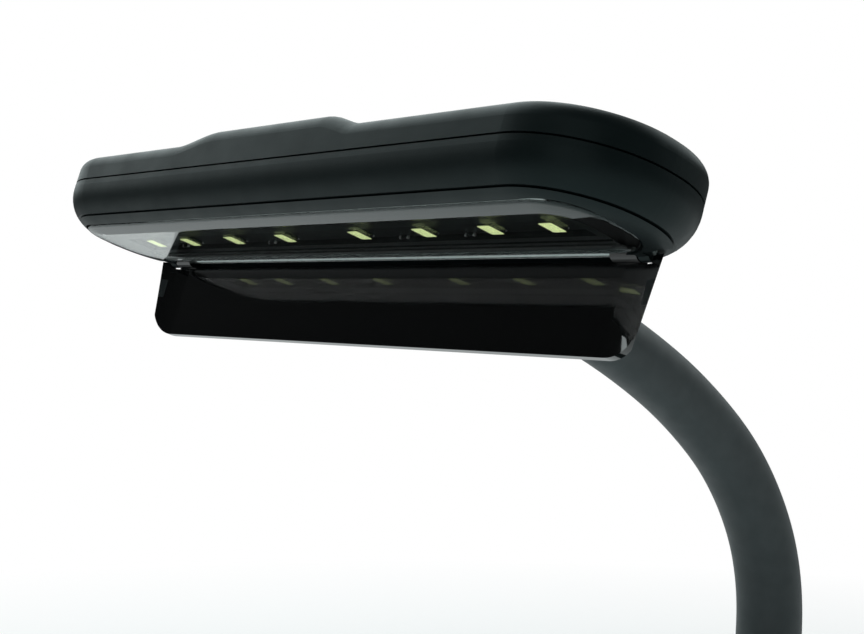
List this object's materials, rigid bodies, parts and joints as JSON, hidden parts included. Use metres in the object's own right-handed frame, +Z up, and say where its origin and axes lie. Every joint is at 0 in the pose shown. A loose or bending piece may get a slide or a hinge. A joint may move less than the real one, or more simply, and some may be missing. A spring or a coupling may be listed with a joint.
{
  "type": "clip on reading lamp",
  "caption": "Clip-on reading lamp: long flat light head with a glare visor, bendable neck and battery clip.",
  "frame": {"origin": "centre of the gripping face of the upper jaw's rubber pad", "axes": "+Z up, X along the lamp head, mouth of the clip toward -Y, neck rises behind it at +Y"},
  "size_m": [0.15, 0.1619, 0.2032],
  "materials": {
    "shell_black": "satin",
    "lens_clear": "polished",
    "tray_black": "matte",
    "board_black": "matte",
    "led_phosphor": "gloss",
    "aluminium": "brushed",
    "circuit_green": "satin",
    "steel": "brushed",
    "button_white": "gloss",
    "polished_steel": "polished",
    "visor_gloss": "high gloss",
    "tab_grey": "satin",
    "collar_grey": "satin",
    "clip_black": "satin",
    "cell_wrap": "gloss",
    "contact_brass": "satin",
    "pad_rubber": "matte",
    "sleeve_rubber": "matte"
  },
  "bodies": {
    "clip": {"clip_plate": "clip_black", "battery_case": "clip_black", "battery_cells": "cell_wrap", "battery_cradle": "tray_black", "battery_contacts": "contact_brass", "clip_screws": "steel", "neck_stud": "steel", "neck_ferrule": "collar_grey", "case_pad": "pad_rubber", "clip_pin": "polished_steel", "clip_spring": "steel"},
    "door": {"battery_door": "clip_black"},
    "lever": {"clip_lever": "clip_black", "lever_pad": "pad_rubber"},
    "head": {"top_shell": "shell_black", "mid_shell": "shell_black", "bezel": "shell_black", "lens": "lens_clear", "light_tray": "tray_black", "led_board": "board_black", "leds": "led_phosphor", "heat_spreader": "aluminium", "driver_board": "circuit_green", "board_screws": "steel", "tact_switch": "tray_black", "hinge_pin": "polished_steel", "neck_socket": "steel", "neck_collar": "collar_grey"},
    "button": {"power_button": "button_white"},
    "visor": {"visor": "visor_gloss", "visor_tabs": "tab_grey"},
    "neck_1": {"neck_core_1": "steel", "neck_sleeve_1": "sleeve_rubber"},
    "neck_2": {"neck_core_2": "steel", "neck_sleeve_2": "sleeve_rubber"},
    "neck_3": {"neck_core_3": "steel", "neck_sleeve_3": "sleeve_rubber"},
    "neck_4": {"neck_core_4": "steel", "neck_sleeve_4": "sleeve_rubber"},
    "neck_5": {"neck_core_5": "steel", "neck_sleeve_5": "sleeve_rubber"},
    "neck_6": {"neck_core_6": "steel", "neck_sleeve_6": "sleeve_rubber"},
    "neck_7": {"neck_core_7": "steel", "neck_sleeve_7": "sleeve_rubber"},
    "neck_8": {"neck_core_8": "steel", "neck_sleeve_8": "sleeve_rubber"}
  },
  "joints": [
    {"name": "neck_1_nod", "type": "hinge", "parent": "clip", "child": "neck_1", "pos_m": [0, 0.049, 0.027], "axis": [1, 0, 0], "range_deg": [-14, 14]},
    {"name": "neck_2_sway", "type": "hinge", "parent": "neck_1", "child": "neck_2", "pos_m": [0, 0.04924, 0.055], "axis": [0, 0.9998, -0.0175], "range_deg": [-14, 14]},
    {"name": "neck_3_nod", "type": "hinge", "parent": "neck_2", "child": "neck_3", "pos_m": [0, 0.04998, 0.08299], "axis": [1, 0, 0], "range_deg": [-14, 14]},
    {"name": "neck_4_sway", "type": "hinge", "parent": "neck_3", "child": "neck_4", "pos_m": [0, 0.04484, 0.10617], "axis": [0, 0.891, 0.454], "range_deg": [-14, 14]},
    {"name": "neck_5_nod", "type": "hinge", "parent": "neck_4", "child": "neck_5", "pos_m": [0, 0.03023, 0.12504], "axis": [1, 0, 0], "range_deg": [-14, 14]},
    {"name": "neck_6_sway", "type": "hinge", "parent": "neck_5", "child": "neck_6", "pos_m": [0, 0.01079, 0.13903], "axis": [0, 0.5, 0.866], "range_deg": [-14, 14]},
    {"name": "neck_7_nod", "type": "hinge", "parent": "neck_6", "child": "neck_7", "pos_m": [0, -0.01068, 0.14974], "axis": [1, 0, 0], "range_deg": [-14, 14]},
    {"name": "neck_8_sway", "type": "hinge", "parent": "neck_7", "child": "neck_8", "pos_m": [0, -0.03315, 0.15814], "axis": [0, 0.309, 0.9511], "range_deg": [-14, 14]},
    {"name": "head_nod", "type": "hinge", "parent": "neck_8", "child": "head", "pos_m": [0, -0.04855, 0.16248], "axis": [1, 0, 0], "range_deg": [-14, 14]},
    {"name": "power_button_press", "type": "slide", "parent": "head", "child": "button", "axis": [0, -0.3206, -0.9472], "range_m": [0, 0.0005], "stiffness_N_per_m": 500},
    {"name": "visor_hinge", "type": "hinge", "parent": "head", "child": "visor", "pos_m": [0, -0.06159, 0.16045], "axis": [1, 0, 0], "range_deg": [-30, 12]},
    {"name": "battery_door_slide", "type": "slide", "parent": "clip", "child": "door", "axis": [0, -1, 0], "range_m": [0, 0.04]},
    {"name": "clip_lever_hinge", "type": "hinge", "parent": "clip", "child": "lever", "pos_m": [0, 0.038, -0.004], "axis": [1, 0, 0], "range_deg": [0, 24], "stiffness_Nm_per_rad": 0.6, "springref_deg": -20.05}
  ]
}
